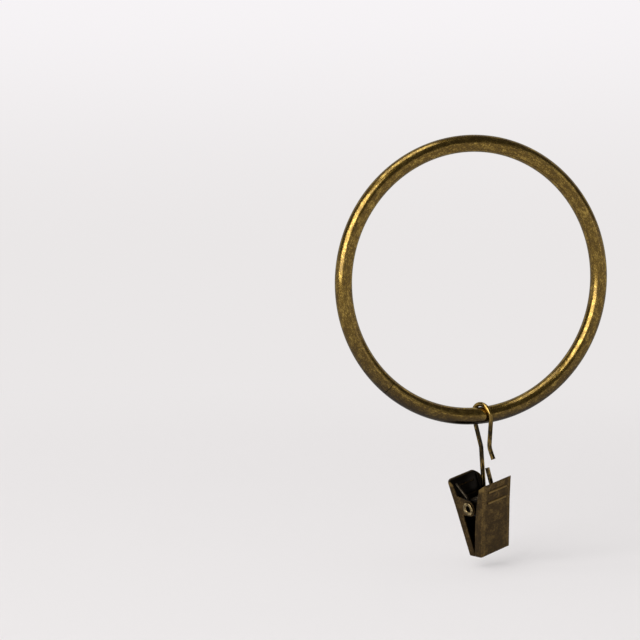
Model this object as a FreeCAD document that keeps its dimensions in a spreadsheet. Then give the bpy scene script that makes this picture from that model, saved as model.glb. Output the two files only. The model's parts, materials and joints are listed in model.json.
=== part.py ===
import FreeCAD, Part
import math
import os
import Sketcher

# Curtain ring with a hook and a spring clip.
# The ring's axis runs along Y, its front faces -Y, and +Z is up.
# The origin is the centre of the ring's hole.
# Lengths are in millimetres and angles in degrees.

os.makedirs("parts", exist_ok=True)
doc = FreeCAD.newDocument("curtain_ring_with_clip")
sizes = doc.addObject("Spreadsheet::Sheet", "Sizes")

# A text that starts with an equals sign is worked out from the sizes above it.
named_sizes = [
    # The ring is a round wire bent to a circle, with its two ends butted.
    ("ring_hole", "51"),
    ("ring_wire", "3.4"),
    ("ring_radius", "=(ring_hole + ring_wire) / 2"),
    ("seam_gap", "0.12"),
    ("seam_edge_round", "0.15"),
    ("seam_from_bottom", "41"),
    ("seam_arc", "=seam_gap / ring_radius * 180 / pi"),

    # The hook hangs a little to the right of the ring's lowest point, turned and leaning.
    ("hook_wire", "0.9"),
    ("hook_seat_gap", "0.12"),
    ("seat_from_bottom", "4.3"),
    ("hook_turn", "22"),
    ("hook_lean", "8"),
    ("seat_x", "=ring_radius * sin(seat_from_bottom)"),
    ("seat_z", "=-ring_radius * cos(seat_from_bottom)"),

    # The hook's bend over the ring wire, in the hook's own plane.
    # Its own origin is the centre of the ring wire, with Y towards the back.
    ("bend_radius", "2.5"),
    ("bend_y", "0"),
    ("bend_z", "=ring_wire / 2 + hook_seat_gap + hook_wire / 2 - bend_radius"),

    # The short front leg closes in under the ring wire and flares at its tip.
    ("leg_pinch", "1.3"),
    ("leg_flare_radius", "3"),
    ("leg_flare_y", "=-leg_pinch - leg_flare_radius"),
    ("leg_flare_z", "-6.3"),
    ("leg_tip_y", "-2.05"),
    ("leg_tip_z", "-8.9"),

    # The shank closes in the same way and then runs down to the eye.
    ("shank_pinch", "1.2"),
    ("shank_set_radius", "2"),
    ("shank_set_y", "=shank_pinch + shank_set_radius"),
    ("shank_set_z", "-6.8"),

    # The pivot is a hollow rivet with a rolled head at each end.
    ("rivet_diameter", "2"),
    ("rivet_hollow", "1.2"),
    ("rivet_head_diameter", "2.7"),
    ("rivet_head_depth", "0.35"),
    ("rivet_head_bevel", "0.12"),
    ("rivet_head_gap", "0.02"),
    ("rivet_fit", "0.02"),
    ("pivot_fit", "0.05"),

    # The hook's eye wraps round under the rivet, and its stub stands up again.
    ("eye_gap", "0.15"),
    ("eye_radius", "=rivet_diameter / 2 + eye_gap + hook_wire / 2"),
    ("eye_y", "0.1"),
    ("eye_z", "-17.6"),
    ("stub_tip_y", "0"),
    ("stub_tip_z", "-10.9"),

    # The clip hangs a little askew in the play of the eye, its foot to the right.
    ("clip_tilt", "3.6"),

    # Both jaws, each in a frame of its own: the pivot is the origin and the panel lies at -Y.
    ("jaw_sheet", "0.45"),
    ("jaw_drop", "10.1"),
    ("lever_rise", "5.4"),
    ("jaw_foot", "1.8"),
    ("jaw_waist", "4"),
    ("lever_reach", "5.35"),
    ("lip_gap", "0.12"),
    ("flange_depth", "1.45"),
    ("flange_waist_depth", "1.9"),
    ("flange_top_slope", "0.9"),
    ("lip_face_height", "0.8"),
    ("fold_round", "0.45"),
    ("lip_y", "=-lip_gap / 2"),
    ("jaw_bottom_z", "=-jaw_drop"),
    ("pivot_z", "0"),
    ("foot_y", "=-jaw_foot"),
    ("waist_y", "=-jaw_waist"),
    ("lever_top_y", "=-lever_reach"),
    ("flange_top_y", "=flange_depth - lever_reach"),
    ("flange_top_z", "=lever_rise - flange_top_slope"),
    ("flange_waist_y", "=flange_waist_depth - jaw_waist"),
    ("lip_face_z", "=lip_face_height - jaw_drop"),

    # The hollow inside the folded sheet.
    ("hollow_past", "1"),
    ("lever_slope", "=(lever_reach - jaw_waist) / lever_rise"),
    ("foot_slope", "=(jaw_waist - jaw_foot) / jaw_drop"),
    ("hollow_bottom_z", "=jaw_sheet - jaw_drop"),
    ("hollow_foot_y", "=jaw_sheet - jaw_foot"),
    ("hollow_waist_y", "=jaw_sheet - jaw_waist"),
    ("hollow_top_z", "=lever_rise + hollow_past"),
    ("hollow_top_y", "=jaw_sheet - jaw_waist - lever_slope * hollow_top_z"),

    # The jaw seen from outside: half widths, and the pinch at the height of the pivot.
    ("waist_half", "3.9"),
    ("foot_flare", "0.15"),
    ("lever_flare", "0.07"),
    ("flange_sheet", "0.38"),
    ("foot_half", "=waist_half + foot_flare"),
    ("lever_half", "=waist_half + lever_flare"),
    ("hollow_half", "=waist_half - flange_sheet"),
    ("pinch_half_height", "1.4"),
    ("pinch_run", "1.2"),
    ("front_corner", "0.3"),
    ("back_corner", "1.1"),
    ("pinch_low_z", "=-pinch_half_height"),
    ("pinch_foot_z", "=-pinch_half_height - pinch_run"),
    ("pinch_lever_z", "=pinch_half_height + pinch_run"),
    ("trim_far", "=jaw_drop + foot_half"),
    ("trim_left", "=-trim_far"),
    ("trim_low_z", "=-jaw_drop - jaw_sheet"),

    # The ears that carry the rivet. The front jaw's ears lie inside the back jaw's.
    ("ear_radius", "1.6"),
    ("ear_sheet", "0.4"),
    ("ear_gap", "0.1"),
    ("ear_low_z", "=-ear_radius"),
    ("ear_root_low_y", "=-(jaw_waist + foot_slope * ear_low_z - jaw_sheet / 2)"),
    ("ear_root_high_z", "2.5"),
    ("ear_root_high_y", "=-(jaw_waist + lever_slope * ear_root_high_z - jaw_sheet / 2)"),
    ("inner_ear_from", "=hollow_half - ear_gap - ear_sheet"),
    ("eye_side_gap", "0.47"),
    ("eye_to_side", "=inner_ear_from - eye_side_gap - hook_wire / 2"),
    ("inner_ear_depth", "=ear_sheet"),
    ("ear_overlap", "0.01"),
    ("outer_ear_from", "=hollow_half - ear_overlap"),
    ("outer_ear_depth", "=waist_half - ear_overlap - outer_ear_from"),

    # Two ribs pressed outwards near the top of each lever.
    ("rib_length", "5"),
    ("rib_radius", "0.3"),
    ("rib_sunk", "0.08"),
    ("groove_radius", "0.2"),
    ("upper_rib_z", "3.6"),
    ("lower_rib_z", "1.3"),
    ("upper_rib_y", "=-(jaw_waist + lever_slope * upper_rib_z - rib_sunk)"),
    ("lower_rib_y", "=-(jaw_waist + lever_slope * lower_rib_z - rib_sunk)"),
    ("upper_groove_y", "=upper_rib_y + jaw_sheet - rib_sunk"),
    ("lower_groove_y", "=lower_rib_y + jaw_sheet - rib_sunk"),

    # The torsion spring: a coil on the rivet, and a leg up each lever.
    ("spring_wire", "0.6"),
    ("coil_gap", "0.15"),
    ("coil_radius", "=rivet_diameter / 2 + coil_gap + spring_wire / 2"),
    ("coil_turn_gap", "0.06"),
    ("coil_pitch", "=spring_wire + coil_turn_gap"),
    ("coil_side_gap", "0.16"),
    ("coil_eye_gap", "0.2"),
    ("coil_from_x", "=coil_side_gap + spring_wire / 2 - inner_ear_from"),
    ("coil_to_x", "=eye_to_side - hook_wire / 2 - coil_eye_gap - spring_wire / 2"),
    ("coil_half_turns", "=2 * floor(((coil_to_x - coil_from_x) / coil_pitch * 2 - 1) / 2) + 1"),
    ("spring_bend_radius", "1.5"),
    ("spring_bend_y", "=coil_radius + spring_bend_radius"),
    ("spring_bend_z", "0.9"),
    ("leg_end_z", "4.2"),
    ("leg_end_gap", "0.06"),
    ("leg_end_inset", "=(spring_wire / 2 + leg_end_gap) * sqrt(1 + lever_slope ^ 2)"),
    ("leg_end_y", "=-(jaw_waist + lever_slope * leg_end_z - jaw_sheet - leg_end_inset)"),

    # The rivet's half profile, along X and out from its axis.
    ("rivet_bore", "=rivet_hollow / 2"),
    ("rivet_side", "=rivet_diameter / 2"),
    ("rivet_head_side", "=rivet_head_diameter / 2"),
    ("rivet_head_top", "=rivet_head_side - rivet_head_bevel"),
    ("rivet_neck_x", "=waist_half + rivet_head_gap"),
    ("rivet_bevel_x", "=rivet_neck_x + rivet_head_depth - rivet_head_bevel"),
    ("rivet_end_x", "=rivet_neck_x + rivet_head_depth"),
    ("rivet_neck_left", "=-rivet_neck_x"),
    ("rivet_bevel_left", "=-rivet_bevel_x"),
    ("rivet_end_left", "=-rivet_end_x"),
]
for row, (name, text) in enumerate(named_sizes, start=1):
    sizes.set("A" + str(row), name)
    sizes.set("B" + str(row), text)
    sizes.setAlias("B" + str(row), name)
doc.recompute()


def size(name):
    """The present value of one named size."""
    value = sizes.get(name)
    return float(getattr(value, "Value", value))


def origin_part(body, role):
    """The body's own origin plane or axis with this role."""
    for feature in body.Origin.OriginFeatures:
        if feature.Role == role:
            return feature
    raise ValueError("no origin feature " + role)


def new_sketch(body, name, plane, offset_name=None):
    """A sketch on one of the body's origin planes, moved along its normal by a named size if one is given."""
    sketch = body.newObject("Sketcher::SketchObject", name)
    sketch.AttachmentSupport = [(origin_part(body, plane), "")]
    sketch.MapMode = "FlatFace"
    if offset_name:
        sketch.setExpression(".AttachmentOffset.Base.z", "Sizes." + offset_name)
    doc.recompute()
    return sketch


def bind(sketch, constraint, name, factor=""):
    """Add a constraint and tie its value to a named size."""
    index = sketch.addConstraint(constraint)
    sketch.setExpression("Constraints[" + str(index) + "]", "Sizes." + name + factor)
    return index


def pin_point(sketch, geometry, end, across, up, side=""):
    """Hold one end of a line or arc at two named coordinates, with side " * -1" for its mirror image."""
    value = size(across) * (-1 if side else 1)
    bind(sketch, Sketcher.Constraint("DistanceX", -1, 1, geometry, end, value), across, side)
    bind(sketch, Sketcher.Constraint("DistanceY", -1, 1, geometry, end, size(up)), up)


def add_polygon(sketch, corners):
    """Draw a closed outline through corners, each a pair of named coordinates."""
    points = [FreeCAD.Vector(size(across), size(up), 0) for across, up in corners]
    count = len(points)
    lines = []
    for i in range(count):
        lines.append(sketch.addGeometry(Part.LineSegment(points[i], points[(i + 1) % count]), False))
    for i in range(count):
        sketch.addConstraint(Sketcher.Constraint("Coincident", lines[i], 2, lines[(i + 1) % count], 1))
    for line, (across, up) in zip(lines, corners):
        pin_point(sketch, line, 1, across, up)
    return lines


def add_circle(sketch, across, up, radius):
    """Draw a circle with a named centre and a radius given as (size name, factor)."""
    name, factor = radius
    centre = FreeCAD.Vector(size(across), size(up), 0)
    value = size(name) * (0.5 if factor else 1)
    circle = sketch.addGeometry(Part.Circle(centre, FreeCAD.Vector(0, 0, 1), value), False)
    bind(sketch, Sketcher.Constraint("Radius", circle, value), name, factor)
    pin_point(sketch, circle, 3, across, up)
    return circle


def new_feature(body, kind, name, sketch):
    """A PartDesign feature made from a sketch."""
    feature = body.newObject("PartDesign::" + kind, name)
    feature.Profile = sketch
    sketch.Visibility = False
    return feature


def across_both_ways(feature, name, factor=""):
    """Run a pad or pocket evenly to both sides of its sketch."""
    feature.SideType = "Symmetric"
    feature.Length = size(name) * (2 if factor else 1)
    feature.setExpression("Length", "Sizes." + name + factor)
    doc.recompute()


def tangent_between(first, second):
    """Where a straight run leaves one bend and meets the next.

    A bend is (y, z, radius, turn): turn is 1 when the path goes round it anticlockwise,
    -1 when clockwise, and the radius is 0 for a free end.
    """
    y1, z1, r1, t1 = first
    y2, z2, r2, t2 = second
    apart = math.hypot(y2 - y1, z2 - z1)
    heading = math.atan2(z2 - z1, y2 - y1) - math.asin((t2 * r2 - t1 * r1) / apart)
    left = (-math.sin(heading), math.cos(heading))
    start = (y1 - t1 * r1 * left[0], z1 - t1 * r1 * left[1])
    end = (y2 - t2 * r2 * left[0], z2 - t2 * r2 * left[1])
    return start, end


def flat(point):
    """A sketch point from a pair of coordinates."""
    return FreeCAD.Vector(point[0], point[1], 0)


# The ring: a round wire turned about the Y axis.
ring = doc.addObject("PartDesign::Body", "ring")
ring_section = new_sketch(ring, "ring_section", "YZ_Plane")
add_circle(ring_section, "pivot_z", "ring_radius", ("ring_wire", " / 2"))
ring_turn = new_feature(ring, "Revolution", "ring_turn", ring_section)
ring_turn.ReferenceAxis = (origin_part(ring, "Y_Axis"), [""])
ring_turn.setExpression("Angle", "360 - Sizes.seam_arc")
doc.recompute()
seam_edges = []
for number, edge in enumerate(ring_turn.Shape.Edges, start=1):
    if isinstance(edge.Curve, Part.Circle) and abs(edge.Curve.Radius - size("ring_wire") / 2) < 0.01:
        seam_edges.append("Edge" + str(number))
ring_ends = ring.newObject("PartDesign::Fillet", "ring_ends")
ring_ends.Base = (ring_turn, seam_edges)
ring_ends.setExpression("Radius", "Sizes.seam_edge_round")
doc.recompute()
ring_axis = FreeCAD.Vector(0, 1, 0)
ring_start = 180 + size("seam_from_bottom") + size("seam_arc") / 2
ring.Placement = FreeCAD.Placement(FreeCAD.Vector(), FreeCAD.Rotation(ring_axis, ring_start))

# The hook: one wire from the tip of its front leg, over the ring and round the eye to its stub.
# Each bend is (Y, Z, radius, turn), with turn 1 for anticlockwise and -1 for clockwise.
hook = doc.addObject("PartDesign::Body", "hook")
hook_bends = [
    ("leg_tip_y", "leg_tip_z", None, 0),
    ("leg_flare_y", "leg_flare_z", "leg_flare_radius", 1),
    ("bend_y", "bend_z", "bend_radius", -1),
    ("shank_set_y", "shank_set_z", "shank_set_radius", 1),
    ("eye_y", "eye_z", "eye_radius", -1),
    ("stub_tip_y", "stub_tip_z", None, 0),
]
bends = [(size(y), size(z), size(r) if r else 0, turn) for y, z, r, turn in hook_bends]
runs = [tangent_between(bends[i], bends[i + 1]) for i in range(len(bends) - 1)]
hook_path = new_sketch(hook, "hook_path", "YZ_Plane")
pieces = []
for i, (start, end) in enumerate(runs):
    pieces.append(hook_path.addGeometry(Part.LineSegment(flat(start), flat(end)), False))
    if i + 1 == len(runs):
        break
    y, z, radius, turn = bends[i + 1]
    next_start = runs[i + 1][0]
    came = math.atan2(end[1] - z, end[0] - y)
    left = math.atan2(next_start[1] - z, next_start[0] - y)
    if turn < 0:
        came, left = left, came
    while left < came:
        left += 2 * math.pi
    bend = Part.ArcOfCircle(Part.Circle(FreeCAD.Vector(y, z, 0), FreeCAD.Vector(0, 0, 1), radius), came, left)
    pieces.append(hook_path.addGeometry(bend, False))
for i, (y, z, radius, turn) in enumerate(hook_bends[1:-1], start=1):
    arc = pieces[2 * i - 1]
    entry, leave = (1, 2) if turn > 0 else (2, 1)
    hook_path.addConstraint(Sketcher.Constraint("Tangent", pieces[2 * i - 2], 2, arc, entry))
    hook_path.addConstraint(Sketcher.Constraint("Tangent", arc, leave, pieces[2 * i], 1))
    bind(hook_path, Sketcher.Constraint("Radius", arc, size(radius)), radius)
    pin_point(hook_path, arc, 3, y, z)
pin_point(hook_path, pieces[0], 1, "leg_tip_y", "leg_tip_z")
pin_point(hook_path, pieces[-1], 2, "stub_tip_y", "stub_tip_z")
doc.recompute()
hook_section = hook.newObject("Sketcher::SketchObject", "hook_section")
hook_section.AttachmentSupport = [(hook_path, "Edge1")]
hook_section.MapMode = "NormalToEdge"
hook_section.MapPathParameter = 0
hook_side = size("hook_wire") / 2
hook_round = Part.Circle(FreeCAD.Vector(), FreeCAD.Vector(0, 0, 1), hook_side)
hook_round = hook_section.addGeometry(hook_round, False)
hook_section.addConstraint(Sketcher.Constraint("Coincident", hook_round, 3, -1, 1))
bind(hook_section, Sketcher.Constraint("Radius", hook_round, hook_side), "hook_wire", " / 2")
doc.recompute()
hook_bar = new_feature(hook, "AdditivePipe", "hook_bar", hook_section)
hook_bar.Spine = (hook_path, [])
hook_path.Visibility = False
doc.recompute()
hook_seat = FreeCAD.Vector(size("seat_x"), 0, size("seat_z"))
hook_stance = FreeCAD.Rotation(size("hook_turn"), -size("hook_lean"), 0)
hook.Placement = FreeCAD.Placement(hook_seat, hook_stance)

# The clip's own frame has the rivet along X, the back jaw at +Y and the levers at +Z.
eye_centre = FreeCAD.Vector(0, size("eye_y"), size("eye_z"))
eye_tilt = FreeCAD.Rotation(FreeCAD.Vector(0, 1, 0), -size("clip_tilt"))
eye_place = hook.Placement.multiply(FreeCAD.Placement(eye_centre, eye_tilt))
side_step = FreeCAD.Vector(-size("eye_to_side"), 0, 0)
clip_place = eye_place.multiply(FreeCAD.Placement(side_step, FreeCAD.Rotation()))
half_turn = FreeCAD.Placement(FreeCAD.Vector(), FreeCAD.Rotation(FreeCAD.Vector(0, 0, 1), 180))


def fold_edges(shape):
    """The long outer edges where the panel is folded over into its two flanges."""
    found = []
    for number, edge in enumerate(shape.Edges, start=1):
        ends = [vertex.Point for vertex in edge.Vertexes]
        if len(ends) != 2 or abs(ends[0].z - ends[1].z) < 0.5:
            continue
        on_fold = True
        for point in ends:
            if point.z < 0:
                outer = -size("jaw_waist") - size("foot_slope") * point.z
            else:
                outer = -size("jaw_waist") - size("lever_slope") * point.z
            on_fold = on_fold and abs(point.y - outer) < 0.02 and abs(point.x) > size("foot_half") - 0.02
        if on_fold:
            found.append("Edge" + str(number))
    return found


def build_jaw(label, corner, ear_from, ear_depth, pivot_gap):
    """One jaw folded from sheet, with its panel at -Y.

    corner names the rounding of the lever's top corners, ear_from and ear_depth say where its
    two ears lie, and pivot_gap is the play of the rivet in them.
    """
    jaw = doc.addObject("PartDesign::Body", label)
    side = new_sketch(jaw, label + "_side", "YZ_Plane")
    add_polygon(side, [
        ("lip_y", "jaw_bottom_z"),
        ("foot_y", "jaw_bottom_z"),
        ("waist_y", "pivot_z"),
        ("lever_top_y", "lever_rise"),
        ("flange_top_y", "flange_top_z"),
        ("flange_waist_y", "pivot_z"),
        ("lip_y", "lip_face_z"),
    ])
    blank = new_feature(jaw, "Pad", label + "_blank", side)
    across_both_ways(blank, "foot_half", " * 2")

    # Round the two folds.
    folds = jaw.newObject("PartDesign::Fillet", label + "_folds")
    folds.Base = (blank, fold_edges(blank.Shape))
    folds.setExpression("Radius", "Sizes.fold_round")
    doc.recompute()

    # Trim to the outline seen from outside.
    face = new_sketch(jaw, label + "_face", "XZ_Plane")
    add_polygon(face, [
        ("trim_left", "trim_left"),
        ("trim_far", "trim_left"),
        ("trim_far", "trim_far"),
        ("trim_left", "trim_far"),
    ])
    outline = [
        ("foot_half", "trim_low_z"),
        ("foot_half", "pinch_foot_z"),
        ("waist_half", "pinch_low_z"),
        ("waist_half", "pinch_half_height"),
        ("lever_half", "pinch_lever_z"),
    ]
    top = size("lever_rise")
    round_off = size(corner)
    inner = size("lever_half") - round_off
    right = [FreeCAD.Vector(size(across), size(up), 0) for across, up in outline]
    right.append(FreeCAD.Vector(size("lever_half"), top - round_off, 0))
    left = [FreeCAD.Vector(-point.x, point.y, 0) for point in reversed(right)]
    right_side = [face.addGeometry(Part.LineSegment(right[i], right[i + 1]), False) for i in range(5)]
    right_circle = Part.Circle(FreeCAD.Vector(inner, top - round_off, 0), FreeCAD.Vector(0, 0, 1), round_off)
    right_arc = face.addGeometry(Part.ArcOfCircle(right_circle, 0, math.pi / 2), False)
    top_edge = Part.LineSegment(FreeCAD.Vector(inner, top, 0), FreeCAD.Vector(-inner, top, 0))
    top_edge = face.addGeometry(top_edge, False)
    left_circle = Part.Circle(FreeCAD.Vector(-inner, top - round_off, 0), FreeCAD.Vector(0, 0, 1), round_off)
    left_arc = face.addGeometry(Part.ArcOfCircle(left_circle, math.pi / 2, math.pi), False)
    left_side = [face.addGeometry(Part.LineSegment(left[i], left[i + 1]), False) for i in range(5)]
    low_edge = face.addGeometry(Part.LineSegment(left[5], right[0]), False)
    for i in range(4):
        face.addConstraint(Sketcher.Constraint("Coincident", right_side[i], 2, right_side[i + 1], 1))
        face.addConstraint(Sketcher.Constraint("Coincident", left_side[i], 2, left_side[i + 1], 1))
    face.addConstraint(Sketcher.Constraint("Coincident", left_side[4], 2, low_edge, 1))
    face.addConstraint(Sketcher.Constraint("Coincident", low_edge, 2, right_side[0], 1))
    face.addConstraint(Sketcher.Constraint("Tangent", right_side[4], 2, right_arc, 1))
    face.addConstraint(Sketcher.Constraint("Tangent", right_arc, 2, top_edge, 1))
    face.addConstraint(Sketcher.Constraint("Tangent", top_edge, 2, left_arc, 1))
    face.addConstraint(Sketcher.Constraint("Tangent", left_arc, 2, left_side[0], 1))
    for line, (across, up) in zip(right_side, outline):
        pin_point(face, line, 1, across, up)
    for line, (across, up) in zip(reversed(left_side), outline):
        pin_point(face, line, 2, across, up, " * -1")
    bind(face, Sketcher.Constraint("Radius", right_arc, round_off), corner)
    bind(face, Sketcher.Constraint("Radius", left_arc, round_off), corner)
    bind(face, Sketcher.Constraint("DistanceY", -1, 1, top_edge, 1, top), "lever_rise")
    doc.recompute()
    trim = new_feature(jaw, "Pocket", label + "_trim", face)
    across_both_ways(trim, "trim_far", " * 2")

    # Hollow out the inside, which leaves the panel, two flanges and the lip.
    inside = new_sketch(jaw, label + "_inside", "YZ_Plane")
    add_polygon(inside, [
        ("hollow_past", "hollow_bottom_z"),
        ("hollow_foot_y", "hollow_bottom_z"),
        ("hollow_waist_y", "pivot_z"),
        ("hollow_top_y", "hollow_top_z"),
        ("hollow_past", "hollow_top_z"),
    ])
    hollow = new_feature(jaw, "Pocket", label + "_hollow", inside)
    across_both_ways(hollow, "hollow_half", " * 2")

    # One ear on the right, and its mirror image on the left.
    ear = new_sketch(jaw, label + "_ear_outline", "YZ_Plane", ear_from)
    round_end = size("ear_radius")
    corners = [
        FreeCAD.Vector(0, size("ear_low_z"), 0),
        FreeCAD.Vector(size("ear_root_low_y"), size("ear_low_z"), 0),
        FreeCAD.Vector(size("ear_root_high_y"), size("ear_root_high_z"), 0),
        FreeCAD.Vector(0, round_end, 0),
    ]
    lines = [ear.addGeometry(Part.LineSegment(corners[i], corners[i + 1]), False) for i in range(3)]
    ear_circle = Part.Circle(FreeCAD.Vector(), FreeCAD.Vector(0, 0, 1), round_end)
    end = ear.addGeometry(Part.ArcOfCircle(ear_circle, -math.pi / 2, math.pi / 2), False)
    ear.addConstraint(Sketcher.Constraint("Coincident", lines[0], 2, lines[1], 1))
    ear.addConstraint(Sketcher.Constraint("Coincident", lines[1], 2, lines[2], 1))
    ear.addConstraint(Sketcher.Constraint("Coincident", lines[2], 2, end, 2))
    ear.addConstraint(Sketcher.Constraint("Coincident", end, 1, lines[0], 1))
    ear.addConstraint(Sketcher.Constraint("Coincident", end, 3, -1, 1))
    ear.addConstraint(Sketcher.Constraint("PointOnObject", end, 1, -2))
    ear.addConstraint(Sketcher.Constraint("PointOnObject", end, 2, -2))
    bind(ear, Sketcher.Constraint("Radius", end, round_end), "ear_radius")
    pin_point(ear, lines[1], 1, "ear_root_low_y", "ear_low_z")
    pin_point(ear, lines[2], 1, "ear_root_high_y", "ear_root_high_z")
    right_ear = new_feature(jaw, "Pad", label + "_right_ear", ear)
    right_ear.setExpression("Length", "Sizes." + ear_depth)
    doc.recompute()
    both_ears = jaw.newObject("PartDesign::Mirrored", label + "_ears")
    both_ears.Originals = [right_ear]
    both_ears.MirrorPlane = (origin_part(jaw, "YZ_Plane"), [""])
    jaw.Tip = both_ears
    doc.recompute()

    # The rivet's hole through both ears.
    hole = new_sketch(jaw, label + "_hole_outline", "YZ_Plane")
    radius = size("rivet_diameter") / 2 + size(pivot_gap)
    circle = hole.addGeometry(Part.Circle(FreeCAD.Vector(), FreeCAD.Vector(0, 0, 1), radius), False)
    hole.addConstraint(Sketcher.Constraint("Coincident", circle, 3, -1, 1))
    bind(hole, Sketcher.Constraint("Radius", circle, radius), "rivet_diameter", " / 2 + Sizes." + pivot_gap)
    bore = new_feature(jaw, "Pocket", label + "_hole", hole)
    across_both_ways(bore, "foot_half", " * 3")

    # The pressed ribs, raised outside and sunk inside.
    ribs = new_sketch(jaw, label + "_rib_ends", "YZ_Plane")
    add_circle(ribs, "upper_rib_y", "upper_rib_z", ("rib_radius", ""))
    add_circle(ribs, "lower_rib_y", "lower_rib_z", ("rib_radius", ""))
    raised = new_feature(jaw, "Pad", label + "_ribs", ribs)
    across_both_ways(raised, "rib_length")
    sunk = new_sketch(jaw, label + "_groove_ends", "YZ_Plane")
    add_circle(sunk, "upper_groove_y", "upper_rib_z", ("groove_radius", ""))
    add_circle(sunk, "lower_groove_y", "lower_rib_z", ("groove_radius", ""))
    grooves = new_feature(jaw, "Pocket", label + "_grooves", sunk)
    across_both_ways(grooves, "rib_length")
    jaw.Tip = grooves
    doc.recompute()
    return jaw


front_jaw = build_jaw("front_jaw", "front_corner", "inner_ear_from", "inner_ear_depth", "pivot_fit")
front_jaw.Placement = clip_place
back_jaw = build_jaw("back_jaw", "back_corner", "outer_ear_from", "outer_ear_depth", "rivet_fit")
back_jaw.Placement = clip_place.multiply(half_turn)

# The hollow rivet through all four ears and the hook's eye.
pivot_rivet = doc.addObject("PartDesign::Body", "pivot_rivet")
rivet_outline = new_sketch(pivot_rivet, "rivet_outline", "XZ_Plane")
add_polygon(rivet_outline, [
    ("rivet_end_left", "rivet_bore"),
    ("rivet_end_x", "rivet_bore"),
    ("rivet_end_x", "rivet_head_top"),
    ("rivet_bevel_x", "rivet_head_side"),
    ("rivet_neck_x", "rivet_head_side"),
    ("rivet_neck_x", "rivet_side"),
    ("rivet_neck_left", "rivet_side"),
    ("rivet_neck_left", "rivet_head_side"),
    ("rivet_bevel_left", "rivet_head_side"),
    ("rivet_end_left", "rivet_head_top"),
])
rivet_turn = new_feature(pivot_rivet, "Revolution", "rivet_turn", rivet_outline)
rivet_turn.ReferenceAxis = (origin_part(pivot_rivet, "X_Axis"), [""])
rivet_turn.Angle = 360
doc.recompute()
pivot_rivet.Placement = clip_place

# The torsion spring. No sketch holds a coil, so its wire is swept along a path made here.
# Each half turn is an arc that leans along the rivet by half a pitch and meets the next one in line.


def arc_through(first, middle, last):
    """An arc from first to last by way of middle."""
    return Part.Arc(first, middle, last).toShape()


def spring_leg(x, side):
    """The points of one leg: coil, foot of its bend, middle of its bend, top of its bend, tip.

    side is 1 for the back leg and -1 for the front leg.
    """
    bend = (size("spring_bend_y"), size("spring_bend_z"), size("spring_bend_radius"), 1)
    tip = (-size("leg_end_y"), size("leg_end_z"), 0, 0)
    start, meets = tangent_between(tip, bend)
    foot = (size("coil_radius"), size("spring_bend_z"))
    towards = math.atan2(meets[1] - bend[1], meets[0] - bend[0])
    half_way = (math.pi - abs(towards)) / 2
    between = (bend[0] - bend[2] * math.cos(half_way), bend[1] + bend[2] * math.sin(half_way))
    flat_points = [(size("coil_radius"), 0), foot, between, meets, start]
    return [FreeCAD.Vector(x, side * y, z) for y, z in flat_points]


coil_radius = size("coil_radius")
half_pitch = size("coil_pitch") / 2
half_turns = int(size("coil_half_turns"))
back_leg = spring_leg(size("coil_from_x"), 1)
front_leg = spring_leg(size("coil_from_x") + half_turns * half_pitch, -1)
spring_edges = [
    Part.makeLine(back_leg[4], back_leg[3]),
    arc_through(back_leg[3], back_leg[2], back_leg[1]),
    Part.makeLine(back_leg[1], back_leg[0]),
]
for turn in range(half_turns):
    x = size("coil_from_x") + turn * half_pitch
    way = 1 if turn % 2 == 0 else -1
    spring_edges.append(arc_through(
        FreeCAD.Vector(x, way * coil_radius, 0),
        FreeCAD.Vector(x + half_pitch / 2, 0, -way * math.hypot(coil_radius, half_pitch / 2)),
        FreeCAD.Vector(x + half_pitch, -way * coil_radius, 0),
    ))
spring_edges.append(Part.makeLine(front_leg[0], front_leg[1]))
spring_edges.append(arc_through(front_leg[1], front_leg[2], front_leg[3]))
spring_edges.append(Part.makeLine(front_leg[3], front_leg[4]))
spring_round = Part.makeCircle(size("spring_wire") / 2, back_leg[4], back_leg[3] - back_leg[4])
torsion_spring = doc.addObject("Part::Feature", "torsion_spring")
torsion_spring.Shape = Part.Wire(spring_edges).makePipe(Part.Face(Part.Wire([spring_round])))
torsion_spring.Placement = clip_place

doc.recompute()

# Write one file for each piece, once all of them are sound.
finished = [ring, hook, front_jaw, back_jaw, torsion_spring, pivot_rivet]
for item in doc.Objects:
    if "Invalid" in item.State or "Error" in item.State:
        raise RuntimeError(item.Name + " did not recompute: " + str(item.State))
for item in finished:
    if item.Shape.isNull() or not item.Shape.isValid() or len(item.Shape.Solids) != 1:
        raise RuntimeError(item.Label + " is not one valid solid")
for item in finished:
    solid = item.Shape.Solids[0]
    solid.exportStep("parts/" + item.Label + ".step")
    print(item.Label, round(solid.Volume, 2), "mm3", solid.CenterOfMass)
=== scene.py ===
"""Curtain ring with a wire hook and a spring clip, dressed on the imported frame.

The ring, the hook and the spring are wires swept by one Geometry Nodes tree. The jaws are the
packed sheets with their edges eased, and the rivet is turned. Every piece carries a vector
attribute called "own": its place in millimetres in the piece's own frame, which the plated
finishes read so that their grain follows the wire or the sheet. The jaws also carry "cut", which
marks their eased edges. Sizes are in millimetres and degrees, and the studio's are in metres.
"""

import json
import logging
import math
from dataclasses import dataclass
from enum import Enum

import bmesh
import bpy
from mathutils import Matrix, Vector

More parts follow.
